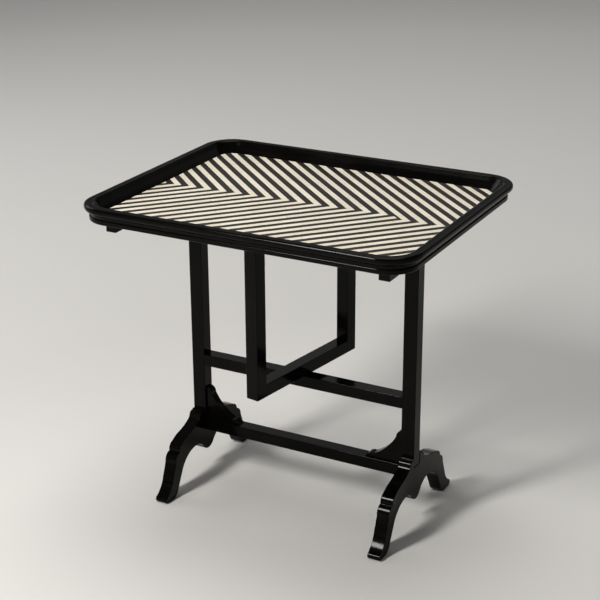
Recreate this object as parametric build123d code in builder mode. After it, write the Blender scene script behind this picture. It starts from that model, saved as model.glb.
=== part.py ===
from build123d import *
import math
import os

# Folding tray table: a trestle with a swivelling gate that carries a moulded, inlaid tray.
#
# Millimetres. +X runs along the tray, +Y to the back and +Z up. The origin is on the floor, under
# the middle of the trestle. "End" pieces come in pairs, left at -X and right at +X.

# ---------------------------------------------------------------- driving sizes
TABLE_HEIGHT = 611.0          # floor to the top of the tray's rim
TRAY_LENGTH = 642.0
TRAY_WIDTH = 513.0
TRAY_CORNER = 61.0            # outer corner radius, seen from above
POST_SPACING = TRAY_LENGTH * 0.69       # between the centres of the two posts

POST_THICKNESS = 26.5         # along X
POST_DEPTH = 26.0             # along Y, shared by the stretchers and the top rail
STRETCHER_HEIGHT = 23.0
LOWER_STRETCHER_BASE = 96.0
MIDDLE_STRETCHER_TOP = 256.4
TENON_LENGTH = 15.0
FOOT_TENON_LENGTH = 7.5       # the lower stretcher's stub tenons, clear of the posts' own tenons
TENON_THICKNESS = 10.0
TENON_SHOULDER = 3.5          # above and below a stretcher's tenon
GLUE_GAP = 0.05               # all round a tenon, a dowel or a screw
EDGE_ROUND = 1.0              # the softened long edges of the square stock

FOOT_THICKNESS = 24.5
FOOT_PROUD = 1.0              # how far a foot board's outer face stands past its post's
FRONT_REACH = 159.0           # from the trestle's middle plane to the tip of a front toe
BACK_REACH = 167.0            # the same to a back toe, the longer of the two
FOOT_TOP = 139.0              # where a foot's upper edge meets its post

BRACKET_HEIGHT = 66.0
BRACKET_LENGTH = 73.0
BRACKET_THICKNESS = 16.0
DOWEL_RADIUS = 3.0
DOWEL_LENGTH = 22.0
POST_DOWEL_DEPTH = 7.0        # of a dowel's hole in the bracket, which is slim beside the post

GATE_LENGTH = 300.0           # over the outer faces of its two legs
GATE_STOCK = 26.0
GATE_BAR_HEIGHT = 24.5
GATE_TOP_BAR_HEIGHT = 20.0
GATE_REST_ANGLE = -9.6        # degrees, from square across the trestle
GATE_TENON = 12.0

PIVOT_RADIUS = 4.0
PIVOT_CLEARANCE = 0.05        # radial running clearance round every pivot pin
PIVOT_FIXED = 14.0            # length held in the trestle
PIVOT_FREE = 15.0             # length running in the gate
PIVOT_END_GAP = 1.0
WASHER_RADIUS = 9.0
WASHER_THICKNESS = 0.8

RAIL_HEIGHT = 26.0            # the top rail, rounded over so that the tray can turn about it
RAIL_TRAY_GAP = 0.5
RAIL_BATTEN_GAP = 0.3
TRAY_PIN_RADIUS = 3.5
TRAY_PIN_HOLD = 18.0          # length in the rail's end

BATTEN_WIDTH = 20.0
BATTEN_THICKNESS = 21.2
BATTEN_LENGTH = TRAY_WIDTH - 75.0
BATTEN_POST_GAP = 18.0        # from a post's outer face to its batten

REST_LENGTH = 92.0            # the blocks under the tray that the gate swings against
REST_WIDTH = 30.0

BASE_THICKNESS = 7.5
INLAY_THICKNESS = 2.0
BASE_INSET = 20.0             # from the tray's outer edge to the base panel's edge
WALL_FOOT = 33.5              # from the outer edge to where the rim meets the inlay
RIM_TOP_WIDTH = 17.5
RIM_HEIGHT = 30.5
NOSE_RADIUS = 5.5
NOSE_DROP = 6.5               # from the rim's top to the nose's foremost line
NOSE_SHOULDER = 4.5           # from the nose's foremost line in to the flat top
LOWER_BAND_INSET = 8.5
LOWER_BAND_HEIGHT = 9.0
COVE_DEPTH = 2.0              # how far the recess lies behind the lower band

STRIP_WIDTH = 15.6            # of a bone strip, measured along X
BACK_PITCH = 33.1             # spacing of the bone strips along X, behind the seam
FRONT_PITCH = 30.9            # the same in front of the seam, laid a little closer
BACK_LEAN = 1.07              # how far a strip runs along X for each step along Y
FRONT_LEAN = 0.92
SEAM_START = -8.3             # the seam's Y where it meets the first whole strip
FIRST_TIP_X = -248.9          # the tip of the first whole strip
SEAM_STEP_X = 175.0           # where the hand-laid seam steps back by half a strip

SCREW_RADIUS = 2.0
SCREW_HEAD_RADIUS = 4.0
SCREW_HEAD_HEIGHT = 2.4
SCREW_SINK = 0.5              # how far a head sits below the wood
SCREW_BITE = 3.8              # how far a screw enters the base panel
SCREW_SLOT_WIDTH = 1.0
SCREW_SLOT_DEPTH = 1.1
BATTEN_SCREW_PITCH = 124.0
REST_SCREW_PITCH = 60.0

# ---------------------------------------------------------------- dependent places
TRAY_BOTTOM = TABLE_HEIGHT - RIM_HEIGHT
INLAY_BOTTOM = TRAY_BOTTOM + BASE_THICKNESS
RAIL_TOP = TRAY_BOTTOM - RAIL_TRAY_GAP
RAIL_BOTTOM = RAIL_TOP - RAIL_HEIGHT
TRAY_PIN_HEIGHT = RAIL_TOP - POST_DEPTH / 2
LOWER_STRETCHER_TOP = LOWER_STRETCHER_BASE + STRETCHER_HEIGHT
MIDDLE_STRETCHER_BASE = MIDDLE_STRETCHER_TOP - STRETCHER_HEIGHT
GATE_BOTTOM = MIDDLE_STRETCHER_TOP + WASHER_THICKNESS
GATE_TOP = RAIL_BOTTOM - WASHER_THICKNESS
POST_OUTER = POST_SPACING / 2 + POST_THICKNESS / 2
POST_INNER = POST_SPACING / 2 - POST_THICKNESS / 2
FOOT_OUTER = POST_OUTER + FOOT_PROUD
FOOT_INNER = FOOT_OUTER - FOOT_THICKNESS
BATTEN_INNER = POST_OUTER + BATTEN_POST_GAP
BATTEN_CENTRE = BATTEN_INNER + BATTEN_WIDTH / 2
RAIL_HALF_LENGTH = BATTEN_INNER - RAIL_BATTEN_GAP
REST_CENTRE = (GATE_LENGTH - GATE_STOCK) / 2
TENON_HEIGHT = STRETCHER_HEIGHT - 2 * TENON_SHOULDER
POST_TENON = 14.0
POST_TENON_LENGTH = 12.0
FOOT_MORTISE_WIDTH = 8.0      # of a post's tenon in its foot board, along X
FOOT_MORTISE_X = POST_OUTER - 4.5 - FOOT_MORTISE_WIDTH / 2

BRACKET_DOWEL_X = POST_INNER - BRACKET_LENGTH * 0.35
POST_DOWEL_HEIGHT = LOWER_STRETCHER_TOP + BRACKET_HEIGHT * 0.6
DOWEL_HOLE = (DOWEL_RADIUS + GLUE_GAP, DOWEL_LENGTH / 2 + GLUE_GAP)

LEFT, RIGHT = -1, 1
FRONT, BACK = -1, 1
STANDING = (Align.CENTER, Align.CENTER, Align.MIN)
os.makedirs("parts", exist_ok=True)


def save(piece, name):
    """Label a finished piece and write it to its own file."""
    piece.part.label = name
    export_step(piece.part, f"parts/{name}.step")


# ---------------------------------------------------------------- contours
def draw_contour(start, curves, grid, size):
    """Draw curves that were laid out on a grid, stretched to a size, and return where they end.

    Each curve is an arc's middle point and end point, or the end point of a straight run.
    """
    def stretch(point):
        return point[0] * size[0] / grid[0], point[1] * size[1] / grid[1]

    start = stretch(start)
    for curve in curves:
        points = [stretch(point) for point in curve]
        if len(points) == 2:
            ThreePointArc(start, *points)
        else:
            Line(start, points[0])
        start = points[-1]
    return start


# ---------------------------------------------------------------- feet
# Half of a foot board's contour, from under the post to the toe and back over the top, as
# (distance from the trestle's middle plane, height) on a grid of 156 by 139.
FOOT_GRID = (156, 139)
FOOT_START = (0, 50.5)
FOOT_CURVES = [
    # the pendant, up to the cusp where the arch begins
    ((9.5, 53), (17, 60)), ((27, 69.5), (43, 75)),
    # the arch, the inside of the shin, the rounded heel and the sole
    ((79, 65.5), (98, 42)), ((106.5, 26), (113.5, 11.5)), ((119.5, 3.8), (130, 0)), ((150, 0),),
    # the toe's blunt, rounded tip and the front of the shin
    ((154.3, 1.95), (156, 6.4)), ((155.1, 10.1), (151.8, 12.2)), ((137.7, 24.5), (128.5, 44)),
    ((122, 60), (118.5, 70.5)),
    # the lower roll and the quirk above it
    ((115.8, 80.3), (108.5, 86.5)), ((104.5, 86.5),), ((104.5, 89.5),),
    # the knee and the long hollow
    ((101.8, 97.2), (93.5, 102.3)), ((82.5, 107.6), (70, 111.3)), ((52, 115.8), (36.5, 122.5)),
    # the upper roll and the quirk beside the post
    ((31.8, 125.8), (29.5, 130)), ((27.6, 134.7), (23, 137)), ((18.5, 137),), ((18.5, 139),),
]


def foot_outline(reach):
    """Half of a foot board's edge, with half of the notch that the post stands in."""
    notch = POST_DEPTH / 2
    with BuildLine() as edge:
        upper_end = draw_contour(FOOT_START, FOOT_CURVES, FOOT_GRID, (reach, FOOT_TOP))
        Line(upper_end, (notch, FOOT_TOP))
        Line((notch, FOOT_TOP), (notch, LOWER_STRETCHER_TOP))
        Line((notch, LOWER_STRETCHER_TOP), (0, LOWER_STRETCHER_TOP))
    return edge.line


def make_foot_board(side, name):
    """One end's pair of feet, cut from a single board that is notched for the post."""
    start = FOOT_OUTER if side == RIGHT else -FOOT_INNER
    with BuildPart() as foot:
        with BuildSketch(Plane.YZ.offset(start - FOOT_THICKNESS)):
            with BuildLine():
                add(foot_outline(BACK_REACH))
                mirror(foot_outline(FRONT_REACH), about=Plane.YZ)
            make_face()
        extrude(amount=FOOT_THICKNESS)
        # the post's mortise, and the lower stretcher's
        with BuildSketch(Plane.XY.offset(LOWER_STRETCHER_TOP)):
            with Locations((side * FOOT_MORTISE_X, 0)):
                Rectangle(FOOT_MORTISE_WIDTH + 2 * GLUE_GAP, POST_TENON + 2 * GLUE_GAP)
        extrude(amount=-POST_TENON_LENGTH - GLUE_GAP, mode=Mode.SUBTRACT)
        with BuildSketch(Plane.YZ.offset(side * FOOT_INNER)):
            with Locations((0, LOWER_STRETCHER_BASE + STRETCHER_HEIGHT / 2)):
                Rectangle(TENON_THICKNESS + 2 * GLUE_GAP, TENON_HEIGHT + 2 * GLUE_GAP)
        extrude(amount=side * (FOOT_TENON_LENGTH + GLUE_GAP), mode=Mode.SUBTRACT)
    save(foot, name)


make_foot_board(LEFT, "left_foot_board")
make_foot_board(RIGHT, "right_foot_board")


# ---------------------------------------------------------------- posts, stretchers and top rail
def make_post(side, name):
    """A square post, tenoned into its foot board below and into the top rail above."""
    with BuildPart() as post:
        with BuildSketch(Plane.XY.offset(LOWER_STRETCHER_TOP)):
            with Locations((side * POST_SPACING / 2, 0)):
                Rectangle(POST_THICKNESS, POST_DEPTH)
        extrude(amount=RAIL_BOTTOM - LOWER_STRETCHER_TOP)
        fillet(post.edges().filter_by(Axis.Z), EDGE_ROUND)
        with BuildSketch(Plane.XY.offset(LOWER_STRETCHER_TOP)):
            with Locations((side * FOOT_MORTISE_X, 0)):
                Rectangle(FOOT_MORTISE_WIDTH, POST_TENON)
        extrude(amount=-POST_TENON_LENGTH)
        with BuildSketch(Plane.XY.offset(RAIL_BOTTOM)):
            with Locations((side * POST_SPACING / 2, 0)):
                Rectangle(POST_TENON, TENON_THICKNESS)
        extrude(amount=POST_TENON_LENGTH)
        # the middle stretcher's mortise, and the bracket's dowel hole
        with BuildSketch(Plane.YZ.offset(side * POST_INNER)):
            with Locations((0, MIDDLE_STRETCHER_BASE + STRETCHER_HEIGHT / 2)):
                Rectangle(TENON_THICKNESS + 2 * GLUE_GAP, TENON_HEIGHT + 2 * GLUE_GAP)
        extrude(amount=side * (TENON_LENGTH + GLUE_GAP), mode=Mode.SUBTRACT)
        with BuildSketch(Plane.YZ.offset(side * POST_INNER)):
            with Locations((0, POST_DOWEL_HEIGHT)):
                Circle(DOWEL_RADIUS + GLUE_GAP)
        extrude(amount=side * (DOWEL_LENGTH / 2 + GLUE_GAP), mode=Mode.SUBTRACT)
    save(post, name)


def make_stretcher(name, base, half_length, tenon_length, holes):
    """A stretcher with a tenon at each end and (x, radius, depth) holes down from its top."""
    with BuildPart() as stretcher:
        with BuildSketch(Plane.XY.offset(base)):
            Rectangle(2 * half_length, POST_DEPTH)
        extrude(amount=STRETCHER_HEIGHT)
        fillet(stretcher.edges().filter_by(Axis.X), EDGE_ROUND)
        with BuildSketch(Plane.XY.offset(base + TENON_SHOULDER)):
            Rectangle(2 * (half_length + tenon_length), TENON_THICKNESS)
        extrude(amount=TENON_HEIGHT)
        for x, radius, depth in holes:
            with BuildSketch(Plane.XY.offset(base + STRETCHER_HEIGHT)):
                with Locations((x, 0)):
                    Circle(radius)
            extrude(amount=-depth, mode=Mode.SUBTRACT)
    save(stretcher, name)


def make_top_rail():
    """The rail across the posts, rounded over about the pins that the tray turns on."""
    with BuildPart() as rail:
        with BuildSketch(Plane.YZ.offset(-RAIL_HALF_LENGTH)):
            with BuildLine():
                half = POST_DEPTH / 2
                Line((-half, TRAY_PIN_HEIGHT), (-half, RAIL_BOTTOM))
                Line((-half, RAIL_BOTTOM), (half, RAIL_BOTTOM))
                Line((half, RAIL_BOTTOM), (half, TRAY_PIN_HEIGHT))
                ThreePointArc((half, TRAY_PIN_HEIGHT), (0, RAIL_TOP), (-half, TRAY_PIN_HEIGHT))
            make_face()
        extrude(amount=2 * RAIL_HALF_LENGTH)
        with BuildSketch(Plane.XY.offset(RAIL_BOTTOM)):
            with Locations((-POST_SPACING / 2, 0), (POST_SPACING / 2, 0)):
                Rectangle(POST_TENON + 2 * GLUE_GAP, TENON_THICKNESS + 2 * GLUE_GAP)
        extrude(amount=POST_TENON_LENGTH + GLUE_GAP, mode=Mode.SUBTRACT)
        with BuildSketch(Plane.XY.offset(RAIL_BOTTOM)):
            Circle(PIVOT_RADIUS)
        extrude(amount=PIVOT_FIXED, mode=Mode.SUBTRACT)
        for side in (LEFT, RIGHT):
            with BuildSketch(Plane.YZ.offset(side * RAIL_HALF_LENGTH)):
                with Locations((0, TRAY_PIN_HEIGHT)):
                    Circle(TRAY_PIN_RADIUS + PIVOT_CLEARANCE)
            extrude(amount=-side * (TRAY_PIN_HOLD + PIVOT_END_GAP), mode=Mode.SUBTRACT)
    save(rail, "top_rail")


make_post(LEFT, "left_post")
make_post(RIGHT, "right_post")
make_stretcher("lower_stretcher", LOWER_STRETCHER_BASE, FOOT_INNER, FOOT_TENON_LENGTH,
               [(-BRACKET_DOWEL_X, *DOWEL_HOLE), (BRACKET_DOWEL_X, *DOWEL_HOLE)])
make_stretcher("middle_stretcher", MIDDLE_STRETCHER_BASE, POST_INNER, TENON_LENGTH,
               [(0, PIVOT_RADIUS, PIVOT_FIXED)])
make_top_rail()


# ---------------------------------------------------------------- brackets
# An ogee from the post's face out to the toe, as (distance from the post, height) on a grid of
# 76 by 68.
BRACKET_GRID = (73, 66)
BRACKET_CURVES = [((0, 66),), ((4, 66),), ((9.8, 61.5), (12, 54)), ((28.5, 30.5), (57, 8.8)),
                  ((68, 6.6), (73, 0)), ((0, 0),)]


def make_bracket(side, name):
    """An ogee bracket in the corner between a post and the lower stretcher."""
    with BuildPart() as bracket:
        # drawn with x as the distance from the post and y as the height above the stretcher
        corner = Plane(origin=(side * POST_INNER, side * BRACKET_THICKNESS / 2, LOWER_STRETCHER_TOP),
                       x_dir=(-side, 0, 0), z_dir=(0, side, 0))
        with BuildSketch(corner):
            with BuildLine():
                draw_contour((0, 0), BRACKET_CURVES, BRACKET_GRID, (BRACKET_LENGTH, BRACKET_HEIGHT))
            make_face()
        extrude(amount=-BRACKET_THICKNESS)
        with BuildSketch(Plane.YZ.offset(side * POST_INNER)):
            with Locations((0, POST_DOWEL_HEIGHT)):
                Circle(DOWEL_RADIUS + GLUE_GAP)
        extrude(amount=-side * POST_DOWEL_DEPTH, mode=Mode.SUBTRACT)
        with BuildSketch(Plane.XY.offset(LOWER_STRETCHER_TOP)):
            with Locations((side * BRACKET_DOWEL_X, 0)):
                Circle(DOWEL_RADIUS + GLUE_GAP)
        extrude(amount=DOWEL_LENGTH / 2 + GLUE_GAP, mode=Mode.SUBTRACT)
    save(bracket, name)


def make_bracket_dowels():
    """The four dowels that hold the brackets to the posts and the lower stretcher."""
    with BuildPart() as dowels:
        for side in (LEFT, RIGHT):
            outer_end = POST_INNER + DOWEL_LENGTH / 2
            inner_end = POST_INNER - POST_DOWEL_DEPTH + GLUE_GAP
            with BuildSketch(Plane.YZ.offset(side * inner_end)):
                with Locations((0, POST_DOWEL_HEIGHT)):
                    Circle(DOWEL_RADIUS)
            extrude(amount=side * (outer_end - inner_end))
        with BuildSketch(Plane.XY.offset(LOWER_STRETCHER_TOP - DOWEL_LENGTH / 2)):
            with Locations((-BRACKET_DOWEL_X, 0), (BRACKET_DOWEL_X, 0)):
                Circle(DOWEL_RADIUS)
        extrude(amount=DOWEL_LENGTH)
    save(dowels, "bracket_dowels")


make_bracket(LEFT, "left_bracket")
make_bracket(RIGHT, "right_bracket")
make_bracket_dowels()


# ---------------------------------------------------------------- the swivelling gate
GATE_BARS = {                 # each bar's underside and height
    "gate_bottom_bar": (GATE_BOTTOM, GATE_BAR_HEIGHT),
    "gate_top_bar": (GATE_TOP - GATE_TOP_BAR_HEIGHT, GATE_TOP_BAR_HEIGHT),
}


def gate_plane(height):
    """A level plane turned to the gate's resting angle: its Y runs along the gate."""
    turn = math.radians(GATE_REST_ANGLE)
    return Plane(origin=(0, 0, height), x_dir=(math.cos(turn), math.sin(turn), 0), z_dir=(0, 0, 1))


def make_gate_leg(end, name):
    """One upright of the gate, with mortises for the two bars. """
    centre = end * (GATE_LENGTH - GATE_STOCK) / 2
    inner = end * (GATE_LENGTH / 2 - GATE_STOCK)
    with BuildPart() as leg:
        with BuildSketch(gate_plane(GATE_BOTTOM)):
            with Locations((0, centre)):
                Rectangle(GATE_STOCK, GATE_STOCK)
        extrude(amount=GATE_TOP - GATE_BOTTOM)
        fillet(leg.edges().filter_by(Axis.Z), EDGE_ROUND)
        for base, bar_height in GATE_BARS.values():
            with BuildSketch(gate_plane(base + TENON_SHOULDER - GLUE_GAP)):
                with Locations((0, inner + end * (GATE_TENON + GLUE_GAP) / 2)):
                    Rectangle(TENON_THICKNESS + 2 * GLUE_GAP, GATE_TENON + GLUE_GAP)
            extrude(amount=bar_height - 2 * TENON_SHOULDER + 2 * GLUE_GAP, mode=Mode.SUBTRACT)
    save(leg, name)


def make_gate_bar(name, bore_from):
    """A bar of the gate, tenoned into both legs and bored for its pivot pin."""
    base, bar_height = GATE_BARS[name]
    shoulder = GATE_LENGTH - 2 * GATE_STOCK
    with BuildPart() as bar:
        with BuildSketch(gate_plane(base)):
            Rectangle(GATE_STOCK, shoulder)
        extrude(amount=bar_height)
        fillet(bar.edges().sort_by(SortBy.LENGTH)[-4:], EDGE_ROUND)
        with BuildSketch(gate_plane(base + TENON_SHOULDER)):
            Rectangle(TENON_THICKNESS, shoulder + 2 * GATE_TENON)
        extrude(amount=bar_height - 2 * TENON_SHOULDER)
        inward = 1 if bore_from == base else -1
        with BuildSketch(gate_plane(bore_from)):
            Circle(PIVOT_RADIUS + PIVOT_CLEARANCE)
        extrude(amount=inward * (PIVOT_FREE + PIVOT_END_GAP), mode=Mode.SUBTRACT)
    save(bar, name)


def make_pivot(name, wood_face, towards_gate):
    """A pin fixed in the trestle at wood_face, whose free end the gate turns on."""
    with BuildPart() as pin:
        with BuildSketch(Plane.XY.offset(wood_face - towards_gate * PIVOT_FIXED)):
            Circle(PIVOT_RADIUS)
        extrude(amount=towards_gate * (PIVOT_FIXED + WASHER_THICKNESS + PIVOT_FREE))
        chamfer(pin.edges().filter_by(GeomType.CIRCLE), PIVOT_RADIUS / 8)
    save(pin, name)


def make_washer(name, base):
    """A plain washer between the trestle and the gate."""
    with BuildPart() as washer:
        with BuildSketch(Plane.XY.offset(base)):
            Circle(WASHER_RADIUS)
            Circle(PIVOT_RADIUS + PIVOT_CLEARANCE, mode=Mode.SUBTRACT)
        extrude(amount=WASHER_THICKNESS)
    save(washer, name)


make_gate_leg(FRONT, "gate_front_leg")
make_gate_leg(BACK, "gate_back_leg")
make_gate_bar("gate_bottom_bar", GATE_BOTTOM)
make_gate_bar("gate_top_bar", GATE_TOP)
make_pivot("lower_pivot_pin", MIDDLE_STRETCHER_TOP, 1)
make_pivot("upper_pivot_pin", RAIL_BOTTOM, -1)
make_washer("lower_pivot_washer", MIDDLE_STRETCHER_TOP)
make_washer("upper_pivot_washer", GATE_TOP)


# ---------------------------------------------------------------- the tray's rim
def rim_section():
    """The rim's section: x is the distance in from the outer edge, y the height above the base."""
    nose_x, nose_y = NOSE_RADIUS, RIM_HEIGHT - NOSE_DROP
    under = math.radians(260)
    nose_start = (nose_x + NOSE_RADIUS * math.cos(under), nose_y + NOSE_RADIUS * math.sin(under))
    band, band_top = LOWER_BAND_INSET, LOWER_BAND_HEIGHT
    recess = band + COVE_DEPTH
    soft = COVE_DEPTH
    with BuildLine() as section:
        Line((BASE_INSET, 0), (band + soft, 0))
        ThreePointArc((band + soft, 0), (band + soft * 0.29, soft * 0.29), (band, soft))
        Line((band, soft), (band, band_top - soft))
        ThreePointArc((band, band_top - soft), (band + soft * 0.29, band_top - soft * 0.29),
                      (band + soft, band_top))
        Line((recess, band_top), (recess, band_top + 1.4))
        ThreePointArc((recess, band_top + 1.4), (recess - 2.0, band_top + 6.4), nose_start)
        TangentArc((0, nose_y), nose_start, tangent=(0, -1))
        TangentArc((0, nose_y), (NOSE_SHOULDER, RIM_HEIGHT), tangent=(0, 1))
        Line((NOSE_SHOULDER, RIM_HEIGHT), (RIM_TOP_WIDTH - 2.5, RIM_HEIGHT))
        ThreePointArc((RIM_TOP_WIDTH - 2.5, RIM_HEIGHT), (RIM_TOP_WIDTH - 0.6, RIM_HEIGHT - 0.7),
                      (RIM_TOP_WIDTH + 0.9, RIM_HEIGHT - 2.2))
        ThreePointArc((RIM_TOP_WIDTH + 0.9, RIM_HEIGHT - 2.2), (25.2, 18.0),
                      (WALL_FOOT, BASE_THICKNESS + INLAY_THICKNESS))
        Line((WALL_FOOT, BASE_THICKNESS + INLAY_THICKNESS), (WALL_FOOT, BASE_THICKNESS))
        Line((WALL_FOOT, BASE_THICKNESS), (BASE_INSET, BASE_THICKNESS))
        Line((BASE_INSET, BASE_THICKNESS), (BASE_INSET, 0))
    return section.edges()


def rim_run(direction):
    """Half lengths of the tray along and across a side whose section is swept in a direction."""
    along, across = (TRAY_LENGTH, TRAY_WIDTH) if direction % 180 == 0 else (TRAY_WIDTH, TRAY_LENGTH)
    return along / 2 - TRAY_CORNER, across / 2


def rim_plane(direction, along):
    """The section's plane on the side that runs in a direction, some way along it."""
    turn = math.radians(direction)
    forward = Vector(math.cos(turn), math.sin(turn), 0)
    inward = Vector(-math.sin(turn), math.cos(turn), 0)
    origin = forward * along - inward * rim_run(direction)[1] + Vector(0, 0, TRAY_BOTTOM)
    return Plane(origin=origin, x_dir=inward, z_dir=forward)


def make_rim_rail(direction, name):
    """One straight length of the rim's moulding."""
    straight = rim_run(direction)[0]
    with BuildPart() as rail:
        with BuildSketch(rim_plane(direction, -straight)):
            make_face(rim_section())
        extrude(amount=2 * straight)
    save(rail, name)


def make_rim_corner(direction, name):
    """The quarter turn of moulding at the far end of a side."""
    straight = rim_run(direction)[0]
    start = rim_plane(direction, straight)
    centre = start.origin + start.x_dir * TRAY_CORNER
    with BuildPart() as corner:
        with BuildSketch(start):
            make_face(rim_section())
        revolve(axis=Axis(centre, (0, 0, 1)), revolution_arc=90)
    save(corner, name)


RIM_SIDES = {0: ("rim_front", "rim_corner_front_right"), 90: ("rim_right", "rim_corner_back_right"),
             180: ("rim_back", "rim_corner_back_left"), 270: ("rim_left", "rim_corner_front_left")}
for heading, (rail_name, corner_name) in RIM_SIDES.items():
    make_rim_rail(heading, rail_name)
    make_rim_corner(heading, corner_name)


# ---------------------------------------------------------------- the tray's floor
def tray_panel(inset):
    """A rounded rectangle that follows the tray's outline at some distance inside it."""
    RectangleRounded(TRAY_LENGTH - 2 * inset, TRAY_WIDTH - 2 * inset, TRAY_CORNER - inset)


def make_tray_base():
    """The panel under the inlay, drilled from below for the battens' and rests' screws."""
    with BuildPart() as base:
        with BuildSketch(Plane.XY.offset(TRAY_BOTTOM)):
            tray_panel(BASE_INSET)
        extrude(amount=BASE_THICKNESS)
        with BuildSketch(Plane.XY.offset(TRAY_BOTTOM)):
            with Locations(*BATTEN_SCREWS, *REST_SCREWS):
                Circle(SCREW_RADIUS + GLUE_GAP)
        extrude(amount=SCREW_BITE, mode=Mode.SUBTRACT)
    save(base, "tray_base")


def seam_points():
    """The seam between the two halves of the inlay, which was laid by hand and steps back once."""
    rise = (BACK_PITCH - FRONT_PITCH) / (BACK_LEAN + FRONT_LEAN)
    slope = rise / (FRONT_PITCH + FRONT_LEAN * rise)
    step = FRONT_PITCH / 2
    half = TRAY_LENGTH / 2

    def line(x):
        return SEAM_START + slope * (x - FIRST_TIP_X)

    after = SEAM_STEP_X + BACK_LEAN * step
    return [(-half, line(-half)), (SEAM_STEP_X, line(SEAM_STEP_X)),
            (after, line(SEAM_STEP_X) - step), (half, line(half) - step)]


def inlay_half(back):
    """The area of the inlay behind or in front of the seam."""
    tray_panel(WALL_FOOT)
    edge = TRAY_WIDTH if back else -TRAY_WIDTH
    seam = seam_points()
    with BuildLine(mode=Mode.PRIVATE) as outline:
        Polyline(*seam, (seam[-1][0], edge), (seam[0][0], edge), close=True)
    make_face(outline.edges(), mode=Mode.INTERSECT)


def strip_band(back, number):
    """The slanting band of one bone strip, before it is cut to the tray's outline and the seam."""
    pitch = BACK_PITCH if back else FRONT_PITCH
    lean = -BACK_LEAN if back else FRONT_LEAN
    tip = FIRST_TIP_X - lean * SEAM_START + number * pitch
    reach = TRAY_WIDTH
    with BuildLine(mode=Mode.PRIVATE) as outline:
        Polyline((tip - STRIP_WIDTH - lean * -reach, reach), (tip - lean * -reach, reach),
                 (tip + lean * -reach, -reach), (tip - STRIP_WIDTH + lean * -reach, -reach), close=True)
    return outline.edges()


def make_inlay(name, bone):
    """The bone strips of the chevron, or the dark strips between them."""
    with BuildPart() as inlay:
        for back in (True, False):
            with BuildSketch(Plane.XY.offset(INLAY_BOTTOM)):
                inlay_half(back)
                with BuildSketch(mode=Mode.INTERSECT if bone else Mode.SUBTRACT):
                    for number in range(-FIRST_STRIPS, LAST_STRIPS):
                        make_face(strip_band(back, number))
            extrude(amount=INLAY_THICKNESS)
    save(inlay, name)


def screw_rows(x, pitch, count, across):
    """Screw places in a row about (x, 0) or, across, about (0, x)."""
    offsets = [pitch * (i - (count - 1) / 2) for i in range(count)]
    return [(o, x) if across else (x, o) for o in offsets]


BATTEN_SCREWS = [p for side in (LEFT, RIGHT)
                 for p in screw_rows(side * BATTEN_CENTRE, BATTEN_SCREW_PITCH, 4, False)]
REST_SCREWS = [p for end in (FRONT, BACK) for p in screw_rows(end * REST_CENTRE, REST_SCREW_PITCH, 2, True)]
FIRST_STRIPS = math.ceil(TRAY_WIDTH / FRONT_PITCH)
LAST_STRIPS = math.ceil((TRAY_LENGTH + TRAY_WIDTH) / FRONT_PITCH)

make_tray_base()
make_inlay("bone_strips", True)
make_inlay("ebony_strips", False)


# ---------------------------------------------------------------- battens, rests and their fixings
def make_batten(side, name):
    """A batten under the tray, bored for its pivot pin and its four screws."""
    with BuildPart() as batten:
        with BuildSketch(Plane.XY.offset(TRAY_BOTTOM - BATTEN_THICKNESS)):
            with Locations((side * BATTEN_CENTRE, 0)):
                Rectangle(BATTEN_WIDTH, BATTEN_LENGTH)
        extrude(amount=BATTEN_THICKNESS)
        fillet(batten.faces().sort_by(Axis.Z)[0].edges(), EDGE_ROUND)
        with BuildSketch(Plane.YZ.offset(side * (BATTEN_INNER + BATTEN_WIDTH))):
            with Locations((0, TRAY_PIN_HEIGHT)):
                Circle(TRAY_PIN_RADIUS)
        extrude(amount=-side * BATTEN_WIDTH, mode=Mode.SUBTRACT)
        with Locations(*[(x, y, TRAY_BOTTOM - BATTEN_THICKNESS) for x, y in BATTEN_SCREWS if x * side > 0]):
            Cylinder(SCREW_RADIUS + GLUE_GAP, BATTEN_THICKNESS, align=STANDING, mode=Mode.SUBTRACT)
            Cylinder(SCREW_HEAD_RADIUS + GLUE_GAP, SCREW_SINK + SCREW_HEAD_HEIGHT, align=STANDING,
                     mode=Mode.SUBTRACT)
    save(batten, name)


def make_rest(end, name):
    """A block under the tray that the gate comes to rest against, screwed up into the base."""
    with BuildPart() as rest:
        with BuildSketch(Plane.XY.offset(GATE_TOP)):
            with Locations((0, end * REST_CENTRE)):
                Rectangle(REST_LENGTH, REST_WIDTH)
        extrude(amount=TRAY_BOTTOM - GATE_TOP)
        fillet(rest.edges().filter_by(Axis.Z), EDGE_ROUND)
        with Locations(*[(x, y, GATE_TOP) for x, y in REST_SCREWS if y * end > 0]):
            Cylinder(SCREW_RADIUS + GLUE_GAP, TRAY_BOTTOM - GATE_TOP, align=STANDING, mode=Mode.SUBTRACT)
            Cylinder(SCREW_HEAD_RADIUS + GLUE_GAP, SCREW_SINK + SCREW_HEAD_HEIGHT, align=STANDING,
                     mode=Mode.SUBTRACT)
    save(rest, name)


def make_screws(places, wood_face, name):
    """Round-shanked screws let into the wood from below, with a slot across each head."""
    head = wood_face + SCREW_SINK
    with BuildPart() as screws:
        with Locations(*[(x, y, head) for x, y in places]):
            Cylinder(SCREW_RADIUS, TRAY_BOTTOM + SCREW_BITE - GLUE_GAP - head, align=STANDING)
            Cylinder(SCREW_HEAD_RADIUS, SCREW_HEAD_HEIGHT, align=STANDING)
            Box(2 * SCREW_HEAD_RADIUS, SCREW_SLOT_WIDTH, SCREW_SLOT_DEPTH, align=STANDING,
                mode=Mode.SUBTRACT)
    save(screws, name)


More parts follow.
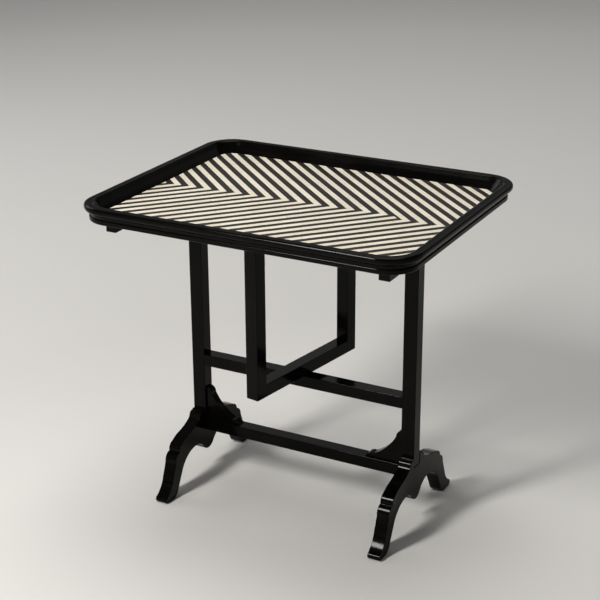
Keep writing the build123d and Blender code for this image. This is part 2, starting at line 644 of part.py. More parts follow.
def make_tray_pins():
    """The two pins through the battens into the rail's ends, which the tray tips up about."""
    with BuildPart() as pins:
        for side in (LEFT, RIGHT):
            with BuildSketch(Plane.YZ.offset(side * (BATTEN_INNER + BATTEN_WIDTH))):
                with Locations((0, TRAY_PIN_HEIGHT)):
                    Circle(TRAY_PIN_RADIUS)
            extrude(amount=-side * (BATTEN_WIDTH + RAIL_BATTEN_GAP + TRAY_PIN_HOLD))
    save(pins, "tray_pivot_pins")


make_batten(LEFT, "left_batten")
make_batten(RIGHT, "right_batten")
make_screws(BATTEN_SCREWS, TRAY_BOTTOM - BATTEN_THICKNESS, "batten_screws")
make_tray_pins()
make_rest(FRONT, "front_gate_rest")
make_rest(BACK, "back_gate_rest")
make_screws(REST_SCREWS, GATE_TOP, "gate_rest_screws")
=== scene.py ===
"""Folding tray table: finished pieces, materials and a studio stage around the CAD frame.

Everything is in metres, in the frame's own axes: +X along the tray, +Y to the back, +Z up.
"""
import math

import bmesh
import bpy
from bpy.props import FloatProperty, FloatVectorProperty, IntProperty, PointerProperty
from bpy.types import Operator, Panel, PropertyGroup
from mathutils import Matrix, Vector


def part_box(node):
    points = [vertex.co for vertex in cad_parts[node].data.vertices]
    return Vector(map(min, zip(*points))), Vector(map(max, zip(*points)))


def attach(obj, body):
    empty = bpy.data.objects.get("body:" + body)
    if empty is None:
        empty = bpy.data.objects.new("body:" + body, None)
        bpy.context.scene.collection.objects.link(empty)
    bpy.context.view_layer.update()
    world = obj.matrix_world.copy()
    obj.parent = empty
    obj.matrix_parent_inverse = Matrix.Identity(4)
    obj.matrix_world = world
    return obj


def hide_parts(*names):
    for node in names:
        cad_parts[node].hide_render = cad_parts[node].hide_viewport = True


bl_info = {
    "name": "Folding tray table",
    "version": (1, 0, 0),
    "blender": (4, 5, 0),
    "location": "3D View > Sidebar > Tray table",
    "description": "Finishes a folding tray table around its CAD frame",
    "category": "Add Mesh",
}

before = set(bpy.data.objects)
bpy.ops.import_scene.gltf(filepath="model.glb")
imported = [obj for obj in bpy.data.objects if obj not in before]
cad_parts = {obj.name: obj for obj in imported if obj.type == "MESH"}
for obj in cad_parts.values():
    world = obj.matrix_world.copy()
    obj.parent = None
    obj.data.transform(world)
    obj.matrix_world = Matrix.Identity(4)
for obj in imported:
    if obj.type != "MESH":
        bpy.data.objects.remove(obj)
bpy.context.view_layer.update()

TRESTLE = "trestle_and_tray"
GATE = "gate"
FEET = ("left_foot_board", "right_foot_board")
UPRIGHTS = ("left_post", "right_post", "lower_stretcher", "middle_stretcher", "top_rail")
BRACKETS = ("left_bracket", "right_bracket")
GATE_PARTS = ("gate_front_leg", "gate_back_leg", "gate_bottom_bar", "gate_top_bar")
RIM_PARTS = ("rim_front", "rim_back", "rim_left", "rim_right", "rim_corner_front_left",
             "rim_corner_front_right", "rim_corner_back_left", "rim_corner_back_right")
UNDERSIDE = ("tray_base", "left_batten", "right_batten", "front_gate_rest", "back_gate_rest")
STEEL_FIXINGS = ("batten_screws", "gate_rest_screws", "tray_pivot_pins", "lower_pivot_pin",
                 "upper_pivot_pin")
BRASS_FIXINGS = ("lower_pivot_washer", "upper_pivot_washer")

# how the pieces are rounded and shaded
WELD = 0.000002
FLAT_ANGLE = math.radians(0.6)        # faces closer than this are merged into one
HARD_ANGLE = math.radians(28)         # edges sharper than this are rounded over
STOCK_SHARP_ANGLE = math.radians(32)  # edges still sharper than these are left crisp
RIM_SHARP_ANGLE = math.radians(38)
EDGE_SEGMENTS = 3
MOULDING_SEGMENTS = 7
QUARTER_TURN = math.radians(90)

# the inlay's layout, in metres on the tray's floor, for the grain of its strips
SEAM_START = (-0.2489, -0.0083)
SEAM_RISE = 0.0346
SEAM_STEP_X = (0.1750, 0.1915)
SEAM_STEP = 0.01545
FRONT_LEAN, BACK_LEAN = 0.92, -1.07
FRONT_PITCH, BACK_PITCH = 0.0309, 0.0331
FRONT_START, BACK_START = -0.24126, -0.25778
BACK_NUMBERS = 57.0                   # keeps the back strips' numbers apart from the front ones
BONE_LENGTH = 0.058
BONE_JOINT = 0.006                    # a joint's share of a bone's length
JOINT_COLOR = (0.16, 0.12, 0.08)
BEECH, DARK_BEECH = (0.56, 0.40, 0.24), (0.40, 0.26, 0.14)

# the stage
FLOOR_RADIUS = 30.0
FAR_FLOOR_PAINTED_LIGHT = (0.9, 4.5)                # painted light: the floor is painted paler between these distances, to make up for the lamps' falloff
WALL_HEIGHTS = (0.14, 0.24, 0.335, 0.40, 0.47, 0.54)
SIDE_BLEND = 0.15
LAMP_TARGET = (0.0, 0.0, 0.35)
LAMPS = (  # name, place, size, power, colour
    ("key", (-0.85, -1.94, 2.12), (0.38, 0.90), 72, (1.0, 0.98, 0.95)),
    ("overhead", (-0.3, 0.8, 4.9), (2.6, 2.6), 110, (1.0, 0.99, 0.97)),
    ("left", (-3.2, 0.6, 2.4), (1.6, 1.6), 20, (1.0, 0.99, 0.97)),
)
CAMERA_PLACE = (1.17129, -2.21733, 1.39566)
CAMERA_YAW, CAMERA_PITCH, CAMERA_ROLL = (math.radians(a) for a in (27.958, 21.604, -0.281))
CAMERA_LENS = 88.293


# ---------------------------------------------------------------- settings
class TrayTableSizes(PropertyGroup):
    edge_round: FloatProperty(name="Stock edges", description="Rounding of the square stock's edges",
                              default=0.0015, unit="LENGTH")
    gate_round: FloatProperty(name="Gate edges", description="Rounding of the gate's edges and corners",
                              default=0.0026, unit="LENGTH")
    foot_round: FloatProperty(name="Foot edges", description="Rounding along the feet's contours",
                              default=0.0024, unit="LENGTH")
    bracket_round: FloatProperty(name="Bracket edges", description="Rounding along the brackets' contours",
                                 default=0.0010, unit="LENGTH")
    strip_round: FloatProperty(name="Strip edges", description="The hairline joint between inlay strips",
                               default=0.00012, unit="LENGTH")
    corner_radius: FloatProperty(name="Tray corner", description="Outer corner radius of the tray",
                                 default=0.061, unit="LENGTH")
    rim_height: FloatProperty(name="Rim height", description="Height of the tray's moulded rim",
                              default=0.0305, unit="LENGTH")
    wall_foot: FloatProperty(name="Rim width", description="From the outer edge to the inlay",
                             default=0.0335, unit="LENGTH")
    corner_steps: IntProperty(name="Corner steps", description="Facets round each corner of the rim",
                              default=28, min=8, max=64)


class TrayTableFinishes(PropertyGroup):
    lacquer: FloatVectorProperty(name="Lacquer", description="Black lacquer", subtype="COLOR",
                                 default=(0.0012, 0.0011, 0.0010), min=0, max=1)
    lacquer_worn: FloatVectorProperty(name="Thin lacquer", description="Where the lacquer is thin",
                                      subtype="COLOR", default=(0.0036, 0.0028, 0.0022), min=0, max=1)
    bone: FloatVectorProperty(name="Bone", description="Polished bone", subtype="COLOR",
                              default=(0.73, 0.68, 0.57), min=0, max=1)
    bone_warm: FloatVectorProperty(name="Warm bone", description="The yellower bone segments",
                                   subtype="COLOR", default=(0.56, 0.505, 0.39), min=0, max=1)
    dark_strip: FloatVectorProperty(name="Dark strip", description="Ebonised strips of the inlay",
                                    subtype="COLOR", default=(0.0080, 0.0072, 0.0068), min=0, max=1)
    dark_grain: FloatVectorProperty(name="Dark grain", description="The grain in the dark strips",
                                    subtype="COLOR", default=(0.021, 0.018, 0.016), min=0, max=1)
    steel: FloatVectorProperty(name="Steel", description="Screws and pins", subtype="COLOR",
                               default=(0.42, 0.41, 0.39), min=0, max=1)
    brass: FloatVectorProperty(name="Brass", description="Washers", subtype="COLOR",
                               default=(0.66, 0.47, 0.20), min=0, max=1)


class TrayTableStage(PropertyGroup):
    floor: FloatVectorProperty(name="Floor", description="Colour of the studio floor", subtype="COLOR",
                               default=(0.60, 0.59, 0.57), min=0, max=1)
    # painted light: the floor's paler colour far away stands in for light the lamps don't carry that far
    far_floor_painted_light: FloatVectorProperty(name="Far floor", description="The floor far behind the table",
                                   subtype="COLOR", default=(0.92, 0.91, 0.89), min=0, max=1)
    horizon: FloatVectorProperty(name="Horizon", description="The studio's wall where it meets the floor",
                                 subtype="COLOR", default=(0.42, 0.415, 0.405), min=0, max=1)
    low_wall: FloatVectorProperty(name="Low wall", description="The dim wall above the horizon",
                                  subtype="COLOR", default=(0.13, 0.13, 0.128), min=0, max=1)
    sky: FloatVectorProperty(name="Surround", description="Colour of the studio around the stage",
                             subtype="COLOR", default=(0.55, 0.545, 0.54), min=0, max=1)
    right_side: FloatProperty(name="Right side", description="Brightness of the studio's right side",
                              default=0.65, min=0, max=1, subtype="FACTOR")
    ceiling: FloatVectorProperty(name="Ceiling", description="Colour of the studio overhead",
                                 subtype="COLOR", default=(0.13, 0.13, 0.13), min=0, max=1)


def settings():
    """The three groups of settings."""
    scene = bpy.context.scene
    return scene.tray_table_sizes, scene.tray_table_finishes, scene.tray_table_stage


# ---------------------------------------------------------------- materials
class Nodes:
    """A material's node tree, with short calls for the nodes used here."""

    MIX_FIRST, MIX_SECOND, MIX_RESULT = 6, 7, 2  # the mix node's colour sockets

    def __init__(self, name):
        self.material = bpy.data.materials.new(name)
        self.material.use_nodes = True
        self.tree = self.material.node_tree
        self.shader = self.tree.nodes["Principled BSDF"]

    def add(self, kind, **inputs):
        node = self.tree.nodes.new(kind)
        for key, value in inputs.items():
            setattr(node, key, value)
        return node

    def feed(self, value, socket):
        """Link an output to a socket, or set the socket's own value."""
        if isinstance(value, bpy.types.NodeSocket):
            self.tree.links.new(value, socket)
        else:
            socket.default_value = value

    def math(self, operation, *values):
        node = self.add("ShaderNodeMath", operation=operation)
        for value, socket in zip(values, node.inputs):
            self.feed(value, socket)
        return node.outputs[0]

    def mix(self, factor, first, second):
        node = self.add("ShaderNodeMix", data_type="RGBA")
        self.feed(factor, node.inputs["Factor"])
        for color, place in ((first, self.MIX_FIRST), (second, self.MIX_SECOND)):
            self.feed(color if isinstance(color, bpy.types.NodeSocket) else (*color, 1), node.inputs[place])
        return node.outputs[self.MIX_RESULT]

    def noise(self, vector, scale, detail=3.0, roughness=0.5):
        node = self.add("ShaderNodeTexNoise")
        self.feed(vector, node.inputs["Vector"])
        node.inputs["Scale"].default_value = scale
        node.inputs["Detail"].default_value = detail
        node.inputs["Roughness"].default_value = roughness
        return node.outputs["Fac"]

    def ramp(self, value, low, high, to_low=0.0, to_high=1.0):
        node = self.add("ShaderNodeMapRange")
        node.clamp = True
        self.feed(value, node.inputs["Value"])
        node.inputs["From Min"].default_value = low
        node.inputs["From Max"].default_value = high
        node.inputs["To Min"].default_value = to_low
        node.inputs["To Max"].default_value = to_high
        return node.outputs["Result"]

    def place(self):
        """The piece's own coordinates, in metres."""
        return self.add("ShaderNodeTexCoord").outputs["Object"]

    def stretched(self, vector, scale):
        node = self.add("ShaderNodeMapping")
        self.feed(vector, node.inputs["Vector"])
        node.inputs["Scale"].default_value = scale
        return node.outputs[0]

    def bump(self, height, distance, strength=1.0):
        node = self.add("ShaderNodeBump")
        self.feed(height, node.inputs["Height"])
        node.inputs["Distance"].default_value = distance
        node.inputs["Strength"].default_value = strength
        return node.outputs[0]

    def finish(self, color=None, roughness=None, normal=None, **sockets):
        """Feed the shader and return the material. Sockets are named with underscores."""
        for value, name in ((color, "Base Color"), (roughness, "Roughness"), (normal, "Normal")):
            if value is not None:
                self.feed(value, self.shader.inputs[name])
        for name, value in sockets.items():
            self.shader.inputs[name.replace("_", " ")].default_value = value
        return self.material


def lacquer_material(name, grain=(1.0, 1.0, 1.0)):
    """Black lacquer over wood: a satin gloss with faint brushing along the grain."""
    finishes = settings()[1]
    nodes = Nodes(name)
    place = nodes.place()
    brushed = nodes.noise(nodes.stretched(place, grain), scale=160.0, detail=4.0, roughness=0.6)
    clouds = nodes.noise(place, scale=14.0)
    thin = nodes.ramp(nodes.math("MULTIPLY", brushed, clouds), low=0.22, high=0.42)
    color = nodes.mix(thin, tuple(finishes.lacquer), tuple(finishes.lacquer_worn))
    roughness = nodes.ramp(clouds, low=0.3, high=0.7, to_low=0.10, to_high=0.16)
    peel = nodes.noise(place, scale=420.0, detail=2.0)
    relief = nodes.math("ADD", nodes.math("MULTIPLY", brushed, 0.6), nodes.math("MULTIPLY", peel, 0.4))
    return nodes.finish(color, roughness, nodes.bump(relief, distance=0.00004, strength=0.35),
                        Specular_IOR_Level=0.07)


def strip_coordinates(nodes):
    """For the inlay: how far along its strip a point is, how far across them, and its strip's number."""
    split = nodes.add("ShaderNodeSeparateXYZ")
    nodes.feed(nodes.place(), split.inputs[0])
    x, y = split.outputs["X"], split.outputs["Y"]
    start_x, start_y = SEAM_START
    rise = nodes.math("MULTIPLY_ADD", nodes.math("ADD", x, -start_x), SEAM_RISE, start_y)
    step = nodes.ramp(x, *SEAM_STEP_X, to_low=0.0, to_high=SEAM_STEP)
    behind = nodes.math("GREATER_THAN", y, nodes.math("SUBTRACT", rise, step))

    def by_side(front, back):
        return nodes.math("MULTIPLY_ADD", behind, back - front, front)

    lean = by_side(FRONT_LEAN, BACK_LEAN)
    across = nodes.math("SUBTRACT", x, nodes.math("MULTIPLY", y, lean))
    along = nodes.math("MULTIPLY", nodes.math("MULTIPLY_ADD", x, lean, y), math.sqrt(0.5))
    pitch = by_side(FRONT_PITCH, BACK_PITCH)
    start = by_side(FRONT_START, BACK_START)
    number = nodes.math("CEIL", nodes.math("DIVIDE", nodes.math("SUBTRACT", across, start), pitch))
    number = nodes.math("MULTIPLY_ADD", behind, BACK_NUMBERS, number)
    return along, across, number


def chance(nodes, *seeds):
    """A number from 0 to 1 that is the same wherever its seeds are the same."""
    vector = nodes.add("ShaderNodeCombineXYZ")
    for seed, socket in zip(seeds, vector.inputs):
        nodes.feed(seed, socket)
    noise = nodes.add("ShaderNodeTexWhiteNoise", noise_dimensions="3D")
    nodes.feed(vector.outputs[0], noise.inputs["Vector"])
    return noise.outputs["Value"]


def strip_vector(nodes, along, across, number, stretch):
    """Coordinates that run along each strip, squeezed along it, for streaks and pores."""
    vector = nodes.add("ShaderNodeCombineXYZ")
    nodes.feed(nodes.math("MULTIPLY", along, stretch), vector.inputs[0])
    nodes.feed(across, vector.inputs[1])
    apart = 0.37  # sets each strip's streaks apart from the next one's
    nodes.feed(nodes.math("MULTIPLY", number, apart), vector.inputs[2])
    return vector.outputs[0]


def bone_material():
    """Polished bone laid in short lengths, each a little different, with hairline joints."""
    finishes = settings()[1]
    nodes = Nodes("polished_bone")
    along, across, number = strip_coordinates(nodes)
    length = nodes.math("DIVIDE", along, BONE_LENGTH)
    length = nodes.math("ADD", length, nodes.math("MULTIPLY", chance(nodes, number, 3.0), 5.0))
    piece = nodes.math("FLOOR", length)
    joint = nodes.math("LESS_THAN", nodes.math("FRACT", length), BONE_JOINT)
    tone = chance(nodes, number, piece, 1.0)
    streaks = nodes.noise(strip_vector(nodes, along, across, number, stretch=0.06),
                          scale=900.0, roughness=0.6)
    streaked = nodes.ramp(streaks, low=0.45, high=0.75, to_high=0.6)
    warm = nodes.math("ADD", nodes.math("MULTIPLY", tone, 0.45), streaked)
    color = nodes.mix(warm, tuple(finishes.bone), tuple(finishes.bone_warm))
    color = nodes.mix(joint, color, JOINT_COLOR)
    roughness = nodes.ramp(streaks, low=0.3, high=0.7, to_low=0.30, to_high=0.42)
    relief = nodes.math("SUBTRACT", nodes.math("MULTIPLY", streaks, 0.3), joint)
    return nodes.finish(color, roughness, nodes.bump(relief, distance=0.00005, strength=0.6),
                        Specular_IOR_Level=0.25, Coat_Weight=0.15, Coat_Roughness=0.08)


def dark_strip_material():
    """Ebonised wood strips, with straight grain along each strip."""
    finishes = settings()[1]
    nodes = Nodes("ebonised_strip")
    along, across, number = strip_coordinates(nodes)
    grain = nodes.noise(strip_vector(nodes, along, across, number, stretch=0.04),
                        scale=1100.0, detail=4.0, roughness=0.65)
    tone = nodes.math("MULTIPLY", chance(nodes, number, 7.0), 0.35)
    light = nodes.math("ADD", nodes.ramp(grain, low=0.42, high=0.72), tone)
    color = nodes.mix(light, tuple(finishes.dark_strip), tuple(finishes.dark_grain))
    roughness = nodes.ramp(grain, low=0.3, high=0.7, to_low=0.30, to_high=0.45)
    return nodes.finish(color, roughness, nodes.bump(grain, distance=0.00004, strength=0.5),
                        Specular_IOR_Level=0.15, Coat_Weight=0.12, Coat_Roughness=0.08)


def metal_material(name, color, roughness):
    """Turned metal with fine tool marks and a little tarnish."""
    nodes = Nodes(name)
    place = nodes.place()
    marks = nodes.noise(nodes.stretched(place, (1.0, 1.0, 9.0)), scale=900.0, detail=2.0)
    tarnish = nodes.noise(place, scale=160.0, detail=4.0, roughness=0.6)
    dull = tuple(0.55 * c for c in color)
    tint = nodes.mix(nodes.ramp(tarnish, low=0.45, high=0.75), tuple(color), dull)
    rough = nodes.ramp(tarnish, low=0.3, high=0.7, to_low=roughness, to_high=roughness + 0.2)
    return nodes.finish(tint, rough, nodes.bump(marks, distance=0.00003, strength=0.4), Metallic=1.0)


def dowel_material():
    """Plain beech, flecked along its grain."""
    nodes = Nodes("beech_dowel")
    flecks = nodes.noise(nodes.stretched(nodes.place(), (1.0, 1.0, 0.2)),
                         scale=700.0, detail=4.0, roughness=0.6)
    color = nodes.mix(nodes.ramp(flecks, low=0.35, high=0.7), BEECH, DARK_BEECH)
    return nodes.finish(color, roughness=0.55, normal=nodes.bump(flecks, distance=0.00005, strength=0.5))


MAKERS = {
    "lacquer_x": lambda: lacquer_material("black_lacquer_x", (0.05, 1.0, 1.0)),
    "lacquer_y": lambda: lacquer_material("black_lacquer_y", (1.0, 0.05, 1.0)),
    "lacquer_z": lambda: lacquer_material("black_lacquer_z", (1.0, 1.0, 0.05)),
    "bone": bone_material,
    "dark_strip": dark_strip_material,
    "steel": lambda: metal_material("dark_steel", settings()[1].steel, 0.35),
    "brass": lambda: metal_material("plain_brass", settings()[1].brass, 0.28),
    "dowel": dowel_material,
}
made_materials = {}


def material(name):
    """A finish, made the first time it is asked for."""
    if name not in made_materials:
        made_materials[name] = MAKERS[name]()
    return made_materials[name]


def paint(piece, name):
    """Give every material slot of a piece one finish."""
    if not piece.material_slots:
        piece.data.materials.append(None)
    for held in piece.material_slots:
        held.material = material(name)


# ---------------------------------------------------------------- shapes
def add_piece(name, shape, body, finish, stands_for):
    """Turn a bmesh into a piece that rides on a body and stands for CAD nodes."""
    mesh = bpy.data.meshes.new(name)
    shape.to_mesh(mesh)
    shape.free()
    piece = bpy.data.objects.new(name, mesh)
    bpy.context.scene.collection.objects.link(piece)
    paint(piece, finish)
    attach(piece, body)
    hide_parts(*stands_for)
    return piece


def smooth_shading(shape, limit):
    """Shade a shape smooth, keeping the edges sharper than a limit."""
    for face in shape.faces:
        face.smooth = True
    for edge in shape.edges:
        edge.smooth = edge.calc_face_angle(0.0) < limit


def weighted_normals(piece):
    """Keep wide flat faces flat beside their rounded edges."""
    modifier = piece.modifiers.new("flat faces", "WEIGHTED_NORMAL")
    modifier.keep_sharp = True
    modifier.weight = 80


def soften(node, width, finish, body=TRESTLE):
    """A copy of a CAD node with its hard edges rounded over, in its place."""
    shape = bmesh.new()
    shape.from_mesh(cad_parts[node].data)
    bmesh.ops.remove_doubles(shape, verts=shape.verts, dist=WELD)
    bmesh.ops.dissolve_limit(shape, angle_limit=FLAT_ANGLE, verts=shape.verts, edges=shape.edges)
    hard = [edge for edge in shape.edges if edge.calc_face_angle(0.0) > HARD_ANGLE]
    bmesh.ops.bevel(shape, geom=hard, offset=width, offset_type="OFFSET", segments=EDGE_SEGMENTS,
                    profile=0.5, affect="EDGES", clamp_overlap=True, material=-1)
    smooth_shading(shape, STOCK_SHARP_ANGLE)
    piece = add_piece(node + "_finished", shape, body, finish, [node])
    weighted_normals(piece)
    return piece


def rim_profile(shape, sizes):
    """The rim's moulding as a closed loop: x in from the outer edge, z up from the base."""
    top, foot = sizes.rim_height, sizes.wall_foot
    corners = [  # inward, height, rounding
        (0.0200, 0.0000, 0), (0.0085, 0.0000, 0.0020), (0.0085, 0.0090, 0.0020), (0.0105, 0.0090, 0),
        (0.0105, 0.0104, 0.0003), (0.0102, 0.0128, 0.0011), (0.0088, 0.0153, 0.0011),
        (0.0068, 0.0173, 0.0010), (0.00002, top - 0.0122, 0.0054), (0.00002, top, 0.0048),
        (0.0170, top, 0.0026), (0.0252, top - 0.0125, 0.0060), (foot, 0.0095, 0),
        (foot, 0.0075, 0), (0.0200, 0.0075, 0),
    ]
    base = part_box("tray_base")[0].z
    verts = [shape.verts.new((inward, 0.0, base + height)) for inward, height, _ in corners]
    for i, vert in enumerate(verts):
        shape.edges.new((vert, verts[i - 1]))
    for vert, (_, _, rounding) in zip(verts, corners):
        if rounding:
            bmesh.ops.bevel(shape, geom=[vert], offset=rounding, offset_type="OFFSET",
                            segments=MOULDING_SEGMENTS, profile=0.5, affect="VERTICES", material=-1)
    return list(shape.edges)


def rim_shape(sizes):
    """The rim's moulding, carried round the tray's four sides and four corners."""
    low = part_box("rim_left")[0]
    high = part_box("rim_right")[1]
    front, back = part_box("rim_front")[0].y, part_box("rim_back")[1].y
    radius = sizes.corner_radius
    shape = bmesh.new()
    loop = rim_profile(shape, sizes)
    # stand the profile at the front side's left end, with its x pointing to the back
    turn = Matrix.Rotation(QUARTER_TURN, 4, "Z")
    place = Matrix.Translation(Vector((low.x + radius, front, 0.0))) @ turn
    bmesh.ops.transform(shape, matrix=place, verts=shape.verts)
    corners = [(high.x - radius, front + radius), (high.x - radius, back - radius),
               (low.x + radius, back - radius), (low.x + radius, front + radius)]
    here = Vector((low.x + radius, front + radius, 0.0))
    for corner in corners:
        there = Vector((*corner, 0.0))
        run = bmesh.ops.extrude_edge_only(shape, edges=loop)["geom"]
        moved = [part for part in run if isinstance(part, bmesh.types.BMVert)]
        bmesh.ops.translate(shape, vec=there - here, verts=moved)
        loop = [part for part in run if isinstance(part, bmesh.types.BMEdge)]
        turned = bmesh.ops.spin(shape, geom=loop, cent=there, axis=(0, 0, 1), angle=QUARTER_TURN,
                                steps=sizes.corner_steps)["geom_last"]
        loop = [part for part in turned if isinstance(part, bmesh.types.BMEdge)]
        here = there
    bmesh.ops.remove_doubles(shape, verts=shape.verts, dist=0.00001)
    bmesh.ops.recalc_face_normals(shape, faces=shape.faces)
    smooth_shading(shape, RIM_SHARP_ANGLE)
    return shape


# ---------------------------------------------------------------- operators
class PieceOperator:
    """What the operators that make pieces share."""

    bl_options = {"REGISTER", "UNDO"}


class TRAYTABLE_OT_feet(PieceOperator, Operator):
    """Round the edges of the shaped foot boards and lacquer them"""

    bl_idname = "tray_table.feet"
    bl_label = "Feet"

    def execute(self, context):
        for node in FEET:
            soften(node, settings()[0].foot_round, "lacquer_z")
        return {"FINISHED"}


class TRAYTABLE_OT_uprights(PieceOperator, Operator):
    """Round the edges of the posts, stretchers and top rail and lacquer them"""

    bl_idname = "tray_table.uprights"
    bl_label = "Posts and stretchers"

    def execute(self, context):
        for node in UPRIGHTS:
            soften(node, settings()[0].edge_round, "lacquer_z" if "post" in node else "lacquer_x")
        return {"FINISHED"}


class TRAYTABLE_OT_brackets(PieceOperator, Operator):
    """Round the edges of the ogee brackets and lacquer them"""

    bl_idname = "tray_table.brackets"
    bl_label = "Brackets"

    def execute(self, context):
        for node in BRACKETS:
            soften(node, settings()[0].bracket_round, "lacquer_x")
        return {"FINISHED"}


class TRAYTABLE_OT_gate(PieceOperator, Operator):
    """Round the edges of the swivelling gate's legs and bars and lacquer them"""

    bl_idname = "tray_table.gate"
    bl_label = "Gate"

    def execute(self, context):
        for node in GATE_PARTS:
            soften(node, settings()[0].gate_round, "lacquer_z" if "leg" in node else "lacquer_y", body=GATE)
        return {"FINISHED"}


class TRAYTABLE_OT_rim(PieceOperator, Operator):
    """Carry the rim's moulding round the tray in one piece"""

    bl_idname = "tray_table.rim"
    bl_label = "Tray rim"

    def execute(self, context):
        shape = rim_shape(settings()[0])
        piece = add_piece("tray_rim", shape, TRESTLE, "lacquer_x", RIM_PARTS)
        weighted_normals(piece)
        return {"FINISHED"}


class TRAYTABLE_OT_inlay(PieceOperator, Operator):
    """Give the bone and dark strips their hairline joints and finishes"""

    bl_idname = "tray_table.inlay"
    bl_label = "Inlay"

    def execute(self, context):
        width = settings()[0].strip_round
        soften("bone_strips", width, "bone")
        soften("ebony_strips", width, "dark_strip")
        return {"FINISHED"}


class TRAYTABLE_OT_underside(PieceOperator, Operator):
    """Round the edges of the tray's base, battens and rests and lacquer them"""

    bl_idname = "tray_table.underside"
    bl_label = "Underside"

    def execute(self, context):
        for node in UNDERSIDE:
            soften(node, settings()[0].edge_round, "lacquer_y" if "batten" in node else "lacquer_x")
        return {"FINISHED"}


class TRAYTABLE_OT_fixings(PieceOperator, Operator):
    """Finish the screws, pins, washers and dowels"""

    bl_idname = "tray_table.fixings"
    bl_label = "Fixings"

    def execute(self, context):
        for node in STEEL_FIXINGS:
            paint(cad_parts[node], "steel")
        for node in BRASS_FIXINGS:
            paint(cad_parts[node], "brass")
        paint(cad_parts["bracket_dowels"], "dowel")
        return {"FINISHED"}


def add_lamp(name, place, size, power, color):
    """A soft rectangular lamp that points at the table's middle."""
    light = bpy.data.lights.new(name, "AREA")
    light.shape = "RECTANGLE"
    light.size, light.size_y = size
    light.energy = power
    light.color = color
    lamp = bpy.data.objects.new(name, light)
    lamp.location = place
    lamp.rotation_euler = (Vector(LAMP_TARGET) - Vector(place)).to_track_quat("-Z", "Y").to_euler()
    bpy.context.scene.collection.objects.link(lamp)


def add_camera():
    """The camera, at a visitor's eye beside the front right of the table."""
    data = bpy.data.cameras.new("camera")
    data.sensor_width = 36.0
    data.lens = CAMERA_LENS
    camera = bpy.data.objects.new("camera", data)
    camera.matrix_world = (Matrix.Translation(Vector(CAMERA_PLACE))
                           @ Matrix.Rotation(CAMERA_YAW, 4, "Z")
                           @ Matrix.Rotation(QUARTER_TURN - CAMERA_PITCH, 4, "X")
                           @ Matrix.Rotation(CAMERA_ROLL, 4, "Z"))
    bpy.context.scene.collection.objects.link(camera)
    bpy.context.scene.camera = camera


def floor_material():
    """Matt painted floor, faintly uneven, with painted light: paler in the distance to make up for the
    lamps' falloff.
    """
    stage = settings()[2]
    nodes = Nodes("studio_floor")
    place = nodes.place()
    tone = nodes.noise(place, scale=1.3)
    distance = nodes.add("ShaderNodeVectorMath", operation="LENGTH")
    nodes.feed(place, distance.inputs[0])
    # painted light: the floor turns paler with distance, to make up for the lamps' falloff
    far = nodes.ramp(distance.outputs["Value"], *FAR_FLOOR_PAINTED_LIGHT)
    near = nodes.mix(nodes.ramp(tone, low=0.3, high=0.7), tuple(stage.floor),
                     tuple(0.97 * c for c in stage.floor))
    return nodes.finish(nodes.mix(far, near, tuple(stage.far_floor_painted_light)), roughness=0.75,
                        Specular_IOR_Level=0.2)


def studio_world():
    """The studio around the stage: dim, with a band at mid height that is palest on its left."""
    stage = settings()[2]
    world = bpy.data.worlds.new("studio")
    world.use_nodes = True
    nodes, links = world.node_tree.nodes, world.node_tree.links
    split = nodes.new("ShaderNodeSeparateXYZ")
    links.new(nodes.new("ShaderNodeTexCoord").outputs["Generated"], split.inputs[0])
    heights = nodes.new("ShaderNodeValToRGB")
    links.new(split.outputs["Z"], heights.inputs["Fac"])
    stops = heights.color_ramp.elements
    stops[0].position, stops[0].color = WALL_HEIGHTS[0], (*stage.horizon, 1)
    stops[1].position, stops[1].color = WALL_HEIGHTS[-1], (*stage.ceiling, 1)
    between = (stage.low_wall, stage.low_wall, stage.sky, stage.sky)
    for height, color in zip(WALL_HEIGHTS[1:-1], between):
        stops.new(height).color = (*color, 1)
    across = nodes.new("ShaderNodeMapRange")
    links.new(split.outputs["X"], across.inputs["Value"])
    across.inputs["From Min"].default_value = -SIDE_BLEND
    across.inputs["From Max"].default_value = SIDE_BLEND
    across.inputs["To Min"].default_value = 1.0
    across.inputs["To Max"].default_value = stage.right_side
    links.new(across.outputs["Result"], nodes["Background"].inputs["Strength"])
    links.new(heights.outputs["Color"], nodes["Background"].inputs["Color"])
    return world


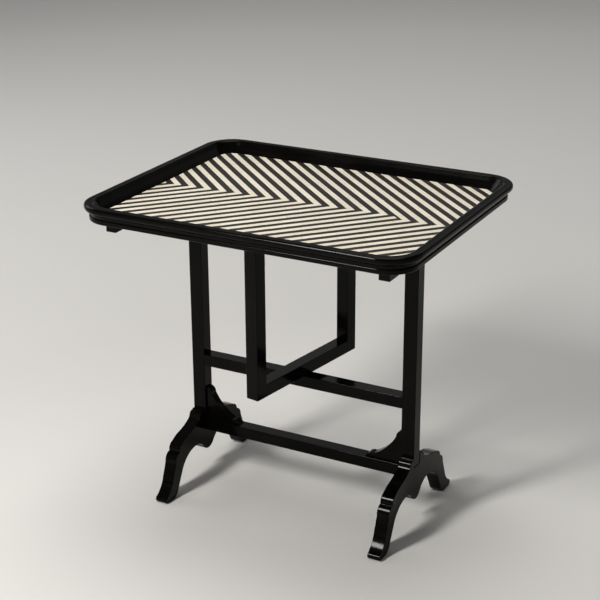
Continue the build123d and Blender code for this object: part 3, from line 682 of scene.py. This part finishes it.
class TRAYTABLE_OT_stage(PieceOperator, Operator):
    """Set the studio floor, surround, lamps and camera"""

    bl_idname = "tray_table.stage"
    bl_label = "Stage"

    def execute(self, context):
        scene = context.scene
        shape = bmesh.new()
        bmesh.ops.create_circle(shape, cap_ends=True, segments=96, radius=FLOOR_RADIUS)
        mesh = bpy.data.meshes.new("floor")
        shape.to_mesh(mesh)
        shape.free()
        floor = bpy.data.objects.new("floor", mesh)
        scene.collection.objects.link(floor)
        floor.data.materials.append(floor_material())
        scene.world = studio_world()
        for lamp in LAMPS:
            add_lamp(*lamp)
        add_camera()
        scene.view_settings.view_transform = "Standard"
        return {"FINISHED"}


class TRAYTABLE_PT_sidebar(Panel):
    """Lists the table's pieces and settings"""

    bl_label = "Tray table"
    bl_space_type = "VIEW_3D"
    bl_region_type = "UI"
    bl_category = "Tray table"

    def draw(self, context):
        for operator in OPERATORS:
            self.layout.operator(operator.bl_idname)
        for group in settings():
            box = self.layout.box()
            for name in group.__annotations__:
                box.prop(group, name)


OPERATORS = (TRAYTABLE_OT_stage, TRAYTABLE_OT_feet, TRAYTABLE_OT_uprights, TRAYTABLE_OT_brackets,
             TRAYTABLE_OT_gate, TRAYTABLE_OT_rim, TRAYTABLE_OT_inlay, TRAYTABLE_OT_underside,
             TRAYTABLE_OT_fixings)
GROUPS = {"tray_table_sizes": TrayTableSizes, "tray_table_finishes": TrayTableFinishes,
          "tray_table_stage": TrayTableStage}
CLASSES = (*GROUPS.values(), *OPERATORS, TRAYTABLE_PT_sidebar)


def register():
    for cls in CLASSES:
        bpy.utils.register_class(cls)
    for name, group in GROUPS.items():
        setattr(bpy.types.Scene, name, PointerProperty(type=group))


def unregister():
    for name in GROUPS:
        delattr(bpy.types.Scene, name)
    for cls in reversed(CLASSES):
        bpy.utils.unregister_class(cls)


def main():
    """Build every piece in turn."""
    register()
    for operator in OPERATORS:
        group, name = operator.bl_idname.split(".")
        getattr(getattr(bpy.ops, group), name)()


if __name__ == "__main__":
    main()
